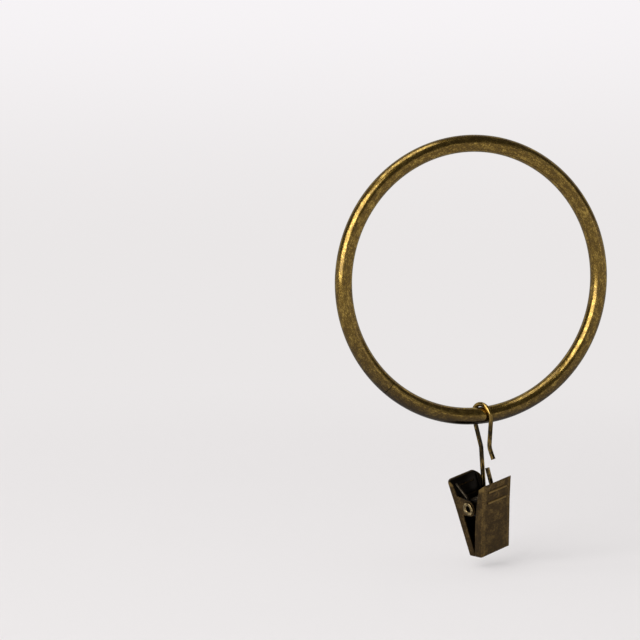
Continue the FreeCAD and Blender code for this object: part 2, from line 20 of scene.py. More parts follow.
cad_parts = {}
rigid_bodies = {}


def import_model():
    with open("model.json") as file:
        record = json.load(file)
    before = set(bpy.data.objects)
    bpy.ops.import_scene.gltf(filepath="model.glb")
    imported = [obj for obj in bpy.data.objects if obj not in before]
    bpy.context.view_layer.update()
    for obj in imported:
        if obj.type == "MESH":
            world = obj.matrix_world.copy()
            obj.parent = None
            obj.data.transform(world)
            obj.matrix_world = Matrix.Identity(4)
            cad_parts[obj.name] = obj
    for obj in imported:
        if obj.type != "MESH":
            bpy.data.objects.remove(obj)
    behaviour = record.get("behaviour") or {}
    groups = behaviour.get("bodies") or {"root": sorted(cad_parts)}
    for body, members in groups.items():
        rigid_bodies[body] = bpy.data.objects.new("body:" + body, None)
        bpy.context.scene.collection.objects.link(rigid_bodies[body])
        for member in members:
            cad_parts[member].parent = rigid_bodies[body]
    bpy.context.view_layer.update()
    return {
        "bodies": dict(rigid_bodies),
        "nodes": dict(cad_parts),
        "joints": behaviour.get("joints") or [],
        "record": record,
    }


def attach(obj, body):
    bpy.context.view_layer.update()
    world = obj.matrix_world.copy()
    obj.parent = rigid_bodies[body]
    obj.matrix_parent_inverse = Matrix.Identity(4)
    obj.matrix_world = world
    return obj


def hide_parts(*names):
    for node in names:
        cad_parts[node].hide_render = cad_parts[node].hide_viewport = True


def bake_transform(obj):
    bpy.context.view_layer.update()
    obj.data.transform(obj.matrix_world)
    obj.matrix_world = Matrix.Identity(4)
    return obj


log = logging.getLogger("curtain_ring")

Colour = tuple[float, float, float, float]
Spot = tuple[float, float, float]
Pair = tuple[float, float]
Span = tuple[float, float]

MM = 0.001
OWN = "own"
CUT = "cut"


class Body(Enum):
    """The moving bodies of the part."""

    RING = "ring"
    HOOK = "hook"
    CLIP = "clip"
    JAW = "jaw"


class RubbingAndHighlight(Enum):
    """Which bright marks a plated piece gets: brass rubbed through, and on the hook's arch and
    the jaws' lever corners also a painted highlight.
    """

    GRAIN = "grain"
    FOLDS = "folds"
    BEND = "bend"


def rgb(red: int, green: int, blue: int) -> Colour:
    """A colour as the screen shows it, turned into the linear values that a shader takes.

    Args:
        red: Red from 0 to 255.
        green: Green from 0 to 255.
        blue: Blue from 0 to 255.

    Returns:
        The linear colour with an alpha of one.
    """
    shown = [value / 255 for value in (red, green, blue)]
    line = [s / 12.92 if s <= 0.04045 else ((s + 0.055) / 1.055) ** 2.4 for s in shown]
    return (line[0], line[1], line[2], 1.0)


@dataclass(frozen=True)
class Stance:
    """The ring's sizes, and how the hook and the clip stand on it."""

    ring_radius: float = 27.2
    ring_wire: float = 3.4
    seat_from_bottom: float = 4.3
    hook_turn: float = 22.0
    hook_lean: float = 8.0
    eye_to_side: float = 2.1
    eye_y: float = 0.1
    eye_z: float = -17.6
    clip_tilt: float = 3.6

    def hook_frame(self) -> Matrix:
        """Find the hook's own frame.

        Returns:
            A frame at the ring wire's centre where the hook sits, with Y towards the back.
        """
        angle = math.radians(self.seat_from_bottom)
        seat = Vector((self.ring_radius * math.sin(angle), 0, -self.ring_radius * math.cos(angle)))
        turn = Matrix.Rotation(math.radians(self.hook_turn), 4, "Z")
        lean = Matrix.Rotation(math.radians(-self.hook_lean), 4, "Y")
        return Matrix.Translation(seat) @ turn @ lean

    def clip_frame(self) -> Matrix:
        """Find the clip's own frame.

        Returns:
            A frame with the rivet along X, the back jaw at +Y and the levers at +Z.
        """
        eye = Matrix.Translation(Vector((0, self.eye_y, self.eye_z)))
        tilt = Matrix.Rotation(math.radians(-self.clip_tilt), 4, "Y")
        aside = Matrix.Translation(Vector((-self.eye_to_side, 0, 0)))
        return self.hook_frame() @ eye @ tilt @ aside


class NodeChain:
    """A short way to add nodes to a shader or geometry tree and join them."""

    def __init__(self, tree: bpy.types.NodeTree) -> None:
        """Take the tree that the nodes go into."""
        self.tree = tree
        self.column = 0

    def add(self, kind: str, settings: dict | None = None, **values: object) -> bpy.types.Node:
        """Add a node.

        Args:
            kind: The node's type.
            settings: The node's own properties.
            **values: Inputs by name, with underscores for spaces. A socket is joined, and
                anything else becomes the input's value.

        Returns:
            The new node.
        """
        node = self.tree.nodes.new(kind)
        node.location = (self.column * 180, 0)
        self.column += 1
        for key, value in (settings or {}).items():
            setattr(node, key, value)
        for key, value in values.items():
            self.feed(node.inputs[key.replace("_", " ")], value)
        return node

    def feed(self, target: bpy.types.NodeSocket, value: object) -> None:
        """Join a socket to an input, or set the input's value.

        Args:
            target: The input.
            value: A socket, or a plain value.
        """
        if isinstance(value, bpy.types.NodeSocket):
            self.tree.links.new(value, target)
        else:
            target.default_value = value

    def maths(self, operation: str, *terms: object) -> bpy.types.NodeSocket:
        """Work out one sum.

        Args:
            operation: The Math node's operation.
            *terms: Its inputs, sockets or numbers.

        Returns:
            The result's socket.
        """
        node = self.add("ShaderNodeMath", {"operation": operation})
        for target, term in zip(node.inputs, terms):
            self.feed(target, term)
        return node.outputs[0]

    def split(self, vector: bpy.types.NodeSocket) -> bpy.types.NodeOutputs:
        """Split a vector into its outputs X, Y and Z."""
        return self.add("ShaderNodeSeparateXYZ", Vector=vector).outputs

    def blend(self, share: object, first: object, second: object) -> bpy.types.NodeSocket:
        """Mix two colours.

        Args:
            share: 0 for the first colour and 1 for the second.
            first: A colour or a socket.
            second: A colour or a socket.

        Returns:
            The mixed colour's socket.
        """
        node = self.add("ShaderNodeMix", {"data_type": "RGBA"})
        for number, value in ((0, share), (6, first), (7, second)):
            self.feed(node.inputs[number], value)
        return node.outputs[2]

    def step(self, value: bpy.types.NodeSocket, span: Span) -> bpy.types.NodeSocket:
        """Make a smooth step.

        Args:
            value: What the step follows.
            span: The values at which the step is 0 and 1, in either order.

        Returns:
            The step's socket.
        """
        node = self.add(
            "ShaderNodeMapRange", {"interpolation_type": "SMOOTHSTEP", "clamp": True},
            Value=value, From_Min=span[0], From_Max=span[1],
        )
        return node.outputs["Result"]


@dataclass(frozen=True)
class PlateGrain:
    """The noises that every plated finish is mixed from, and how far each one counts."""

    patch_detail: float = 5.0
    patch_breakup: float = 0.62
    fleck_detail: float = 3.0
    fleck_breakup: float = 0.7
    dust_for_fleck: float = 2.6
    dust_detail: float = 1.0
    tone_from_patch: float = 0.55
    tone_from_fleck: float = 0.45
    relief_from_fleck: float = 0.6
    relief_from_dust: float = 0.4
    gloss_span: Span = (0.38, 0.62)
    bright_flecks: Span = (0.56, 0.74)
    bright_share: float = 0.6


@dataclass(frozen=True)
class LacquerAndShade:
    """The brown lacquer's refraction, and the painted shade: how deep it is, and which downward
    faces low on the piece it darkens.
    """

    painted_shade_shares: Spot = (0.22, 0.2, 0.2)
    # These two spans place the painted underside shade.
    shade_facing: Span = (0.45, -0.75)
    shade_height_in_metres: Span = (-0.002, -0.024)
    refraction: float = 1.55


@dataclass(frozen=True)
class BendRubbingAndHighlight:
    """Where the hook sits on the ring and is rubbed bright, which also paints a highlight on its
    arch and upper front leg, in millimetres from its front tip.
    """

    begins: Span = (5.5, 11.5)
    ends: Span = (19.0, 15.0)
    share: float = 0.75


@dataclass(frozen=True)
class FoldMarks:
    """Where a folded jaw is rubbed bright, with a painted glint on its lever corners, and where it
    gets painted shade inside the fold and a little on its flanges, in the jaw's own frame.

    Each span is where a mark starts and where it is full. Side is the distance from the jaw's
    middle, height is above the rivet, and depth is what face_depth gives.
    """

    lever_slope: float = 0.25
    mouth_slope: float = 0.218
    outer_depth: Span = (-3.6, -3.85)
    fold_side: Span = (2.9, 3.35)
    fold_flecks: Span = (0.36, 0.6)
    fold_fleck_share: float = 0.34
    fold_even_share: float = 0.06
    rib_depth: Span = (-4.01, -4.05)
    rib_side: Span = (2.75, 2.45)
    # These spans place a painted glint on the lever corners, partly also rubbing.
    glint_corner_side: Span = (3.5, 3.8)
    glint_corner_height: Span = (3.9, 4.4)
    cut_share: float = 0.8
    # The flange and depth spans below place the painted shade inside the fold.
    shade_flange_side: Span = (3.6, 3.8)
    shade_flange_share: float = 0.86
    shade_depth: Span = (-3.62, -3.85)


PLATE_GRAIN = PlateGrain()
LACQUER_AND_SHADE = LacquerAndShade()
BEND_RUBBING_AND_HIGHLIGHT = BendRubbingAndHighlight()
FOLD_MARKS = FoldMarks()


@dataclass(frozen=True)
class AntiquePlate:
    """Antique brass plating on steel: brown lacquer over brass, rubbed bright in places, with some
    painted highlight and painted shade.

    The grain is set by patch and fleck, in waves for each millimetre, and by draw, which is how
    many times longer it is along the wire than across it. A wider spread makes its tones softer.
    Relief is the height of the grain in millimetres. The edge tint is the colour that the plating
    takes where it is seen at a flat angle. Underside shade is how far the piece's lowest
    underside, on the side that looks down, is darkened towards near black: painted shade. The
    spring's unplated steel is the same finish in greys, without its lacquer.
    """

    name: str
    shade: Colour
    body: Colour
    rubbed: Colour
    edge: Colour
    smooth: float
    rough: float
    patch: float
    fleck: float
    draw: float
    relief: float
    lacquer: float
    lacquer_rough: float = 0.22
    spread: float = 0.14
    underside_shade: float = 0.0
    bright_marks: RubbingAndHighlight = RubbingAndHighlight.GRAIN

    def material(self) -> bpy.types.Material:
        """Build the node tree of this finish.

        Returns:
            The new material.
        """
        material = bpy.data.materials.new(self.name)
        material.use_nodes = True
        tree = material.node_tree
        tree.nodes.clear()
        chain = NodeChain(tree)
        grain = PLATE_GRAIN
        place = chain.add("ShaderNodeAttribute", {"attribute_name": OWN}).outputs["Vector"]
        patches, flecks, dust = self.noises(chain, place)
        fine = chain.maths("MULTIPLY", flecks, grain.tone_from_fleck)
        mixed = chain.maths("MULTIPLY_ADD", patches, grain.tone_from_patch, fine)
        # The bright brass is rubbing on the grain, folds, ribs and cut edges, and also a painted
        # highlight on the hook's arch and a painted glint on the jaws' lever corners.
        colour = chain.blend(self.rubbing_and_highlight(chain, place, flecks), self.tone(chain, mixed), self.rubbed)
        # Painted shade: inside the folded jaws, and a little on their flanges, the colour is
        # darkened towards near black.
        if self.bright_marks is RubbingAndHighlight.FOLDS:
            colour = chain.blend(self.painted_fold_shade(chain, place), colour, self.dark())
        # Painted shade: the lowest underside, on the side that looks down, is darkened towards
        # near black.
        if self.underside_shade > 0:
            colour = chain.blend(self.painted_underside_shade(chain), colour, self.dark())
        rough = chain.add(
            "ShaderNodeMapRange", Value=mixed,
            From_Min=grain.gloss_span[0], From_Max=grain.gloss_span[1],
            To_Min=self.rough, To_Max=self.smooth,
        ).outputs["Result"]
        dusty = chain.maths("MULTIPLY", dust, grain.relief_from_dust)
        height = chain.maths("MULTIPLY_ADD", flecks, grain.relief_from_fleck, dusty)
        bump = chain.add("ShaderNodeBump", Height=height, Distance=self.relief * MM, Strength=1.0)
        shader = chain.add(
            "ShaderNodeBsdfPrincipled",
            Base_Color=colour, Roughness=rough, Metallic=1.0, Normal=bump.outputs["Normal"],
        )
        shader.inputs["Specular Tint"].default_value = self.edge
        shader.inputs["Coat Weight"].default_value = self.lacquer
        shader.inputs["Coat Roughness"].default_value = self.lacquer_rough
        shader.inputs["Coat IOR"].default_value = LACQUER_AND_SHADE.refraction
        chain.add("ShaderNodeOutputMaterial", Surface=shader.outputs["BSDF"])
        return material

    def noises(
        self, chain: NodeChain, place: bpy.types.NodeSocket
    ) -> tuple[bpy.types.NodeSocket, bpy.types.NodeSocket, bpy.types.NodeSocket]:
        """Add the three noises that the plating is mixed from.

        Args:
            chain: The tree being built.
            place: The point in the piece's own frame.

        Returns:
            The large patches, the fine flecks and the finest dust.
        """
        grain = PLATE_GRAIN
        drawn = chain.add("ShaderNodeMapping", Vector=place, Scale=(1 / self.draw, 1, 1))
        patches = chain.add(
            "ShaderNodeTexNoise", Vector=drawn.outputs["Vector"], Scale=self.patch,
            Detail=grain.patch_detail, Roughness=grain.patch_breakup,
        )
        flecks = chain.add(
            "ShaderNodeTexNoise", Vector=drawn.outputs["Vector"], Scale=self.fleck,
            Detail=grain.fleck_detail, Roughness=grain.fleck_breakup,
        )
        dust = chain.add(
            "ShaderNodeTexNoise", Vector=place, Scale=self.fleck * grain.dust_for_fleck,
            Detail=grain.dust_detail,
        )
        return patches.outputs["Fac"], flecks.outputs["Fac"], dust.outputs["Fac"]

    def tone(self, chain: NodeChain, mixed: bpy.types.NodeSocket) -> bpy.types.NodeSocket:
        """Colour the mixed noise from the shade through the body to the rubbed brass.

        Args:
            chain: The tree being built.
            mixed: The patches and flecks together.

        Returns:
            The colour's socket.
        """
        tone = chain.add("ShaderNodeValToRGB", Fac=mixed)
        ramp = tone.color_ramp
        ramp.elements[0].position = 0.5 - self.spread
        ramp.elements[0].color = self.shade
        ramp.elements[1].position = 0.5 + self.spread
        ramp.elements[1].color = self.rubbed
        ramp.elements.new(0.5).color = self.body
        return tone.outputs["Color"]

    def dark(self) -> Colour:
        """The near-black colour that the painted shade darkens towards."""
        red, green, blue = (tone * share for tone, share in zip(self.shade, LACQUER_AND_SHADE.painted_shade_shares))
        return (red, green, blue, 1.0)

    def painted_underside_shade(self, chain: NodeChain) -> bpy.types.NodeSocket:
        """Find the painted shade on the piece's lower half, on the side that looks down.

        Args:
            chain: The tree being built.

        Returns:
            A value from 0 up to how strong this finish's painted underside shade is.
        """
        spot = chain.add("ShaderNodeTexCoord").outputs
        under = chain.step(chain.split(spot["Normal"])["Z"], LACQUER_AND_SHADE.shade_facing)
        low = chain.step(chain.split(spot["Object"])["Z"], LACQUER_AND_SHADE.shade_height_in_metres)
        return chain.maths("MULTIPLY", chain.maths("MULTIPLY", under, low), self.underside_shade)

    def face_depth(self, chain: NodeChain, axes: bpy.types.NodeOutputs) -> bpy.types.NodeSocket:
        """Find how far forward a point of a jaw lies, with both slopes of its panel undone.

        Args:
            chain: The tree being built.
            axes: The point's X, Y and Z in the jaw's own frame.

        Returns:
            -4 on the panel's outer face and more inside it, in millimetres.
        """
        above = chain.maths("MAXIMUM", axes["Z"], 0.0)
        below = chain.maths("MINIMUM", axes["Z"], 0.0)
        above = chain.maths("MULTIPLY", above, FOLD_MARKS.lever_slope)
        below = chain.maths("MULTIPLY", below, FOLD_MARKS.mouth_slope)
        return chain.maths("ADD", axes["Y"], chain.maths("ADD", above, below))

    def rubbing_and_highlight(
        self, chain: NodeChain, place: bpy.types.NodeSocket, flecks: bpy.types.NodeSocket
    ) -> bpy.types.NodeSocket:
        """Find how far the plating is rubbed bright, together with the painted highlight on the
        hook's arch and the painted glint on the jaws' lever corners.

        Args:
            chain: The tree being built.
            place: The point in the piece's own frame.
            flecks: The fine noise that breaks up the rubbing.

        Returns:
            A value from 0 for lacquered to 1 for bright.
        """
        if self.bright_marks is RubbingAndHighlight.FOLDS:
            return self.fold_rubbing_and_glint(chain, chain.split(place), flecks)
        grain = chain.step(flecks, PLATE_GRAIN.bright_flecks)
        if self.bright_marks is RubbingAndHighlight.GRAIN:
            return chain.maths("MULTIPLY", grain, PLATE_GRAIN.bright_share)
        # Painted highlight on the hook's arch and upper front leg, partly also rubbing where it
        # sits on the ring.
        along = chain.split(place)["X"]
        begins = chain.step(along, BEND_RUBBING_AND_HIGHLIGHT.begins)
        hung_rubbing_and_highlight = chain.maths("MULTIPLY", begins, chain.step(along, BEND_RUBBING_AND_HIGHLIGHT.ends))
        return chain.maths("MAXIMUM", grain, chain.maths("MULTIPLY", hung_rubbing_and_highlight, BEND_RUBBING_AND_HIGHLIGHT.share))

    def fold_rubbing_and_glint(
        self, chain: NodeChain, axes: bpy.types.NodeOutputs, flecks: bpy.types.NodeSocket
    ) -> bpy.types.NodeSocket:
        """Find how far a jaw is rubbed on its folds, ribs, lever corners and cut edges; on the
        lever corners this is also a painted glint.

        Args:
            chain: The tree being built.
            axes: The point's X, Y and Z in the jaw's own frame.
            flecks: The fine noise that breaks up the rubbing along the folds.

        Returns:
            A value from 0 for lacquered to 1 for bright.
        """
        marks = FOLD_MARKS
        side = chain.maths("ABSOLUTE", axes["X"])
        depth = self.face_depth(chain, axes)
        outer = chain.step(depth, marks.outer_depth)
        border = chain.maths("MULTIPLY", chain.step(side, marks.fold_side), outer)
        broken = chain.maths(
            "MULTIPLY_ADD", chain.step(flecks, marks.fold_flecks),
            marks.fold_fleck_share, marks.fold_even_share,
        )
        folds = chain.maths("MULTIPLY", border, broken)
        ribs = chain.step(depth, marks.rib_depth)
        ribs = chain.maths("MULTIPLY", ribs, chain.step(side, marks.rib_side))
        # Painted glint on the lever corners, partly also rubbing there; it joins the cut edges
        # below.
        corner_rubbing_and_glint = chain.step(side, marks.glint_corner_side)
        corner_rubbing_and_glint = chain.maths("MULTIPLY", corner_rubbing_and_glint, chain.step(axes["Z"], marks.glint_corner_height))
        cut = chain.add("ShaderNodeAttribute", {"attribute_name": CUT}).outputs["Fac"]
        cut = chain.maths("MAXIMUM", corner_rubbing_and_glint, chain.maths("MULTIPLY", cut, marks.cut_share))
        return chain.maths("MAXIMUM", chain.maths("MAXIMUM", folds, ribs), cut)

    def painted_fold_shade(self, chain: NodeChain, place: bpy.types.NodeSocket) -> bpy.types.NodeSocket:
        """Find where a jaw gets painted shade: inside the folded sheet, and a little on its side
        flanges.

        Args:
            chain: The tree being built.
            place: The point in the jaw's own frame.

        Returns:
            A value from 0 for the outside to 1 for the inside.
        """
        axes = chain.split(place)
        side = chain.step(chain.maths("ABSOLUTE", axes["X"]), FOLD_MARKS.shade_flange_side)
        outer = chain.step(self.face_depth(chain, axes), FOLD_MARKS.shade_depth)
        flange = chain.maths("MULTIPLY", side, FOLD_MARKS.shade_flange_share)
        return chain.maths("SUBTRACT", 1.0, chain.maths("MAXIMUM", flange, outer))


# The ring's underside shade of 0.85 is painted shade on its lowest underside.
RING_PLATE = AntiquePlate(
    "ring_plate", rgb(50, 34, 2), rgb(95, 72, 8), rgb(204, 171, 84), (0.4, 0.42, 0.3, 1),
    smooth=0.19, rough=0.28, patch=1.2, fleck=5.6, draw=2.2, relief=0.008,
    lacquer=0.42, lacquer_rough=0.19, spread=0.3, underside_shade=0.85,
)
HOOK_PLATE = AntiquePlate(
    "hook_plate", rgb(28, 21, 8), rgb(42, 33, 13), rgb(142, 116, 58), (0.4, 0.42, 0.34, 1),
    smooth=0.1, rough=0.18, patch=1.1, fleck=4.5, draw=3.5, relief=0.002,
    lacquer=0.15, lacquer_rough=0.05, bright_marks=RubbingAndHighlight.BEND,
)
JAW_PLATE = AntiquePlate(
    "jaw_plate", rgb(44, 34, 15), rgb(63, 48, 25), rgb(118, 96, 54), (0.42, 0.43, 0.4, 1),
    smooth=0.3, rough=0.44, patch=0.7, fleck=3.4, draw=1.0, relief=0.008,
    lacquer=0.15, lacquer_rough=0.3, spread=0.2, bright_marks=RubbingAndHighlight.FOLDS,
)
SPRING_STEEL = AntiquePlate(
    "spring_steel", rgb(30, 26, 20), rgb(48, 42, 34), rgb(90, 82, 70), (0.45, 0.45, 0.45, 1),
    smooth=0.38, rough=0.52, patch=1.0, fleck=4.0, draw=4.0, relief=0.003, lacquer=0.0,
)
RIVET_PLATE = AntiquePlate(
    "rivet_plate", rgb(60, 47, 24), rgb(98, 82, 48), rgb(176, 156, 108), (0.5, 0.5, 0.45, 1),
    smooth=0.16, rough=0.32, patch=0.9, fleck=3.6, draw=1.0, relief=0.005, lacquer=0.4,
)


@dataclass(frozen=True)
class Bend:
    """One bend of a wire in its own plane, or a free end, which has no radius and no turn.

    A turn of 1 is anticlockwise and -1 is clockwise.
    """

    y: float
    z: float
    radius: float = 0.0
    turn: int = 0


def tangent_run(first: Bend, second: Bend) -> tuple[Pair, Pair]:
    """Find where a straight run leaves one bend and meets the next.

    Args:
        first: The bend that the run leaves.
        second: The bend that it meets.

    Returns:
        The run's start and end, each as Y and Z.
    """
    over, up = second.y - first.y, second.z - first.z
    shift = second.turn * second.radius - first.turn * first.radius
    heading = math.atan2(up, over) - math.asin(shift / math.hypot(over, up))
    left = (-math.sin(heading), math.cos(heading))
    start, end = (
        (bend.y - bend.turn * bend.radius * left[0], bend.z - bend.turn * bend.radius * left[1])
        for bend in (first, second)
    )
    return start, end


class Path:
    """A wire's centre line, made of straight runs and bends.

    The ease shares say how far each ring of points round an eased end lies from the cut face.
    """

    EASE_SHARES = (0.0, 0.06, 0.18, 0.38, 0.66, 1.0)

    def __init__(self, start: Vector) -> None:
        """Begin the path at a point."""
        self.points = [start]

    def line_to(self, end: Vector, step: float) -> None:
        """Run straight to a point.

        Args:
            end: Where the run ends.
            step: The most that two points of the path lie apart.
        """
        start = self.points[-1].copy()
        count = max(1, math.ceil((end - start).length / step))
        self.points += [start.lerp(end, i / count) for i in range(1, count + 1)]

    def bend_about(
        self, centre: Vector, axis: Vector, degrees: float, step: float, rise: float = 0.0
    ) -> None:
        """Turn about an axis.

        Args:
            centre: A point on the axis.
            axis: The axis, of length one.
            degrees: How far to turn, by the right-hand rule.
            step: The turn from one point to the next, in degrees.
            rise: How far to move along the axis on the way, which makes a helix.
        """
        arm = self.points[-1] - centre
        count = max(2, math.ceil(abs(degrees) / step))
        for i in range(1, count + 1):
            turned = Matrix.Rotation(math.radians(degrees) * i / count, 3, axis) @ arm
            self.points.append(centre + turned + axis * (rise * i / count))

    def place(self, frame: Matrix) -> None:
        """Move the whole path out of its own frame into the part's."""
        self.points = [frame @ point for point in self.points]

    def ease_ends(self, radius: float, ease: float) -> list[float]:
        """Round the wire's two cut ends.

        Args:
            radius: The wire's radius.
            ease: The radius of the rounding.

        Returns:
            For each point of the path, the wire's radius there as a share of the full one.
        """
        shares = self.EASE_SHARES
        sizes = [(radius - ease + math.sqrt(1 - (1 - s) ** 2) * ease) / radius for s in shares]
        first, second = self.points[0], self.points[1]
        last, before = self.points[-1], self.points[-2]
        inward = (second - first).normalized()
        outward = (last - before).normalized()
        head = [first + inward * (ease * s) for s in shares]
        tail = [last - outward * (ease * s) for s in reversed(shares)]
        middle = self.points[1:-1]
        self.points = head + middle + tail
        return sizes + [1.0] * len(middle) + list(reversed(sizes))


class WireSweeper:
    """The Geometry Nodes tree that turns a centre line into a round wire."""

    def __init__(self) -> None:
        """Build the tree once, for every wire of the part."""
        self.tree = bpy.data.node_groups.new("sweep_wire", "GeometryNodeTree")
        self.ids: dict[str, str] = {}
        face = self.tree.interface
        for name, kind in (
            ("Centre Line", "NodeSocketGeometry"),
            ("Wire Radius", "NodeSocketFloat"),
            ("Sides", "NodeSocketInt"),
            ("Finish", "NodeSocketMaterial"),
        ):
            socket = face.new_socket(name=name, in_out="INPUT", socket_type=kind)
            self.ids[name] = socket.identifier
        face.new_socket(name="Wire", in_out="OUTPUT", socket_type="NodeSocketGeometry")
        self.fill()

    def store(
        self, chain: NodeChain, geometry: bpy.types.NodeSocket, kind: str, name: str,
        value: bpy.types.NodeSocket,
    ) -> bpy.types.NodeSocket:
        """Write a value onto every point as a named attribute.

        Args:
            chain: The tree being built.
            geometry: The socket of what carries the points.
            kind: The attribute's data type.
            name: The attribute's name.
            value: The value's socket.

        Returns:
            The socket of the geometry with its attribute.
        """
        settings = {"data_type": kind, "domain": "POINT"}
        node = chain.add(
            "GeometryNodeStoreNamedAttribute", settings, Geometry=geometry, Name=name, Value=value
        )
        return node.outputs["Geometry"]

    def recall(self, chain: NodeChain, kind: str, name: str) -> bpy.types.NodeSocket:
        """Read a named attribute back.

        Args:
            chain: The tree being built.
            kind: The attribute's data type.
            name: The attribute's name.

        Returns:
            The attribute's socket.
        """
        node = chain.add("GeometryNodeInputNamedAttribute", {"data_type": kind}, Name=name)
        return node.outputs["Attribute"]

    def fill(self) -> None:
        """Put the nodes into the tree."""
        chain = NodeChain(self.tree)
        given = chain.add("NodeGroupInput").outputs
        curve = chain.add("GeometryNodeMeshToCurve", Mesh=given["Centre Line"]).outputs["Curve"]
        swell = self.recall(chain, "FLOAT", "swell")
        curve = chain.add("GeometryNodeSetCurveRadius", Curve=curve, Radius=swell).outputs["Curve"]
        length = chain.add("GeometryNodeSplineParameter").outputs["Length"]
        curve = self.store(chain, curve, "FLOAT", "along", length)
        circle = chain.add(
            "GeometryNodeCurvePrimitiveCircle",
            Resolution=given["Sides"], Radius=given["Wire Radius"],
        ).outputs["Curve"]
        spot = chain.add("GeometryNodeInputPosition").outputs["Position"]
        circle = self.store(chain, circle, "FLOAT_VECTOR", "across", spot)
        wire = chain.add(
            "GeometryNodeCurveToMesh", Curve=curve, Profile_Curve=circle, Fill_Caps=True
        ).outputs["Mesh"]
        across = chain.split(self.recall(chain, "FLOAT_VECTOR", "across"))
        along = self.recall(chain, "FLOAT", "along")
        own = chain.add("ShaderNodeCombineXYZ", X=along, Y=across["X"], Z=across["Y"])
        scaled = chain.add(
            "ShaderNodeVectorMath", {"operation": "SCALE"},
            Vector=own.outputs["Vector"], Scale=1 / MM,
        )
        wire = self.store(chain, wire, "FLOAT_VECTOR", OWN, scaled.outputs["Vector"])
        wire = chain.add("GeometryNodeSetShadeSmooth", Geometry=wire).outputs["Geometry"]
        wire = chain.add("GeometryNodeRealizeInstances", Geometry=wire).outputs["Geometry"]
        wire = chain.add(
            "GeometryNodeSetMaterial", Geometry=wire, Material=given["Finish"]
        ).outputs["Geometry"]
        chain.add("NodeGroupOutput", Wire=wire)

    def sweep(
        self, name: str, path: Path, radius: float, ease: float, sides: int, plate: AntiquePlate
    ) -> bpy.types.Object:
        """Sweep one wire.

        Args:
            name: The finished object's name.
            path: Its centre line in the part's frame, in millimetres.
            radius: The wire's radius.
            ease: The rounding of its cut ends.
            sides: How many faces go round the wire.
            plate: Its finish.

        Returns:
            A plain mesh object, at the origin and in metres.
        """
        swell = path.ease_ends(radius, ease)
        links = [(i, i + 1) for i in range(len(path.points) - 1)]
        mesh = bpy.data.meshes.new(name + "_line")
        mesh.from_pydata([point * MM for point in path.points], links, [])
        mesh.attributes.new("swell", "FLOAT", "POINT").data.foreach_set("value", swell)
        line = bpy.data.objects.new(name + "_line", mesh)
        bpy.context.scene.collection.objects.link(line)
        modifier = line.modifiers.new("sweep", "NODES")
        modifier.node_group = self.tree
        modifier[self.ids["Wire Radius"]] = radius * MM
        modifier[self.ids["Sides"]] = sides
        modifier[self.ids["Finish"]] = plate.material()
        graph = bpy.context.evaluated_depsgraph_get()
        baked = bpy.data.meshes.new_from_object(
            line.evaluated_get(graph), preserve_all_data_layers=True, depsgraph=graph
        )
        baked.name = name
        bpy.data.objects.remove(line)
        piece = bpy.data.objects.new(name, baked)
        bpy.context.scene.collection.objects.link(piece)
        return piece


@dataclass
class WireRing:
    """The round wire ring, with its two ends butted at the lower left."""

    stance: Stance
    sweeper: WireSweeper
    seam_gap: float = 0.12
    seam_from_bottom: float = 41.0
    seam_ease: float = 0.15
    bend_step: float = 0.72
    sides: int = 48

    def build(self) -> bpy.types.Object:
        """Sweep the ring from one side of its seam round to the other.

        Returns:
            The finished ring.
        """
        radius = self.stance.ring_radius
        gap = math.degrees(self.seam_gap / radius)
        start = 180 + self.seam_from_bottom + gap / 2
        axis = Vector((0, 1, 0))
        top = Vector((0, 0, radius))
        path = Path(Matrix.Rotation(math.radians(start), 3, axis) @ top)
        path.bend_about(Vector(), axis, 360 - gap, self.bend_step)
        wire = self.stance.ring_wire / 2
        return self.sweeper.sweep("wire_ring", path, wire, self.seam_ease, self.sides, RING_PLATE)

    def dress(self, piece: bpy.types.Object) -> None:
        """Let the ring stand for its node.

        Args:
            piece: The finished ring.
        """
        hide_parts("ring")
        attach(piece, Body.RING.value)


@dataclass
class WireHook:
    """The small wire hook: front leg, bend over the ring, shank, eye and stub."""

    stance: Stance
    sweeper: WireSweeper
    wire: float = 0.9
    seat_gap: float = 0.12
    seat_radius: float = 2.5
    eye_radius: float = 1.6
    front_tip: Bend = Bend(-2.05, -8.9)
    flare: Bend = Bend(-4.3, -6.3, 3.0, 1)
    knee: Bend = Bend(3.2, -6.8, 2.0, 1)
    stub_tip: Bend = Bend(0.0, -10.9)
    end_ease: float = 0.12
    run_step: float = 0.5
    bend_step: float = 7.5
    sides: int = 28

    def bends(self) -> list[Bend]:
        """List the hook's free ends and bends.

        Returns:
            The front tip, the flare, the seat over the ring, the knee, the eye and the stub.
        """
        seat_top = self.stance.ring_wire / 2 + self.seat_gap + self.wire / 2
        seat = Bend(0.0, seat_top - self.seat_radius, self.seat_radius, -1)
        eye = Bend(self.stance.eye_y, self.stance.eye_z, self.eye_radius, -1)
        return [self.front_tip, self.flare, seat, self.knee, eye, self.stub_tip]

    def build(self) -> bpy.types.Object:
        """Sweep the hook along its tangent runs and bends.

        Returns:
            The finished hook.
        """
        bends = self.bends()
        runs = [tangent_run(first, second) for first, second in zip(bends, bends[1:])]
        path = Path(Vector((0, *runs[0][0])))
        path.line_to(Vector((0, *runs[0][1])), self.run_step)
        for bend, arriving, leaving in zip(bends[1:], runs, runs[1:]):
            came = math.atan2(arriving[1][1] - bend.z, arriving[1][0] - bend.y)
            left = math.atan2(leaving[0][1] - bend.z, leaving[0][0] - bend.y)
            swing = (left - came) * bend.turn % (2 * math.pi) * bend.turn
            centre = Vector((0, bend.y, bend.z))
            path.bend_about(centre, Vector((1, 0, 0)), math.degrees(swing), self.bend_step)
            path.line_to(Vector((0, *leaving[1])), self.run_step)
        path.place(self.stance.hook_frame())
        wire = self.wire / 2
        return self.sweeper.sweep("wire_hook", path, wire, self.end_ease, self.sides, HOOK_PLATE)

    def dress(self, piece: bpy.types.Object) -> None:
        """Let the hook stand for its node.

        Args:
            piece: The finished hook.
        """
        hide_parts("hook")
        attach(piece, Body.HOOK.value)


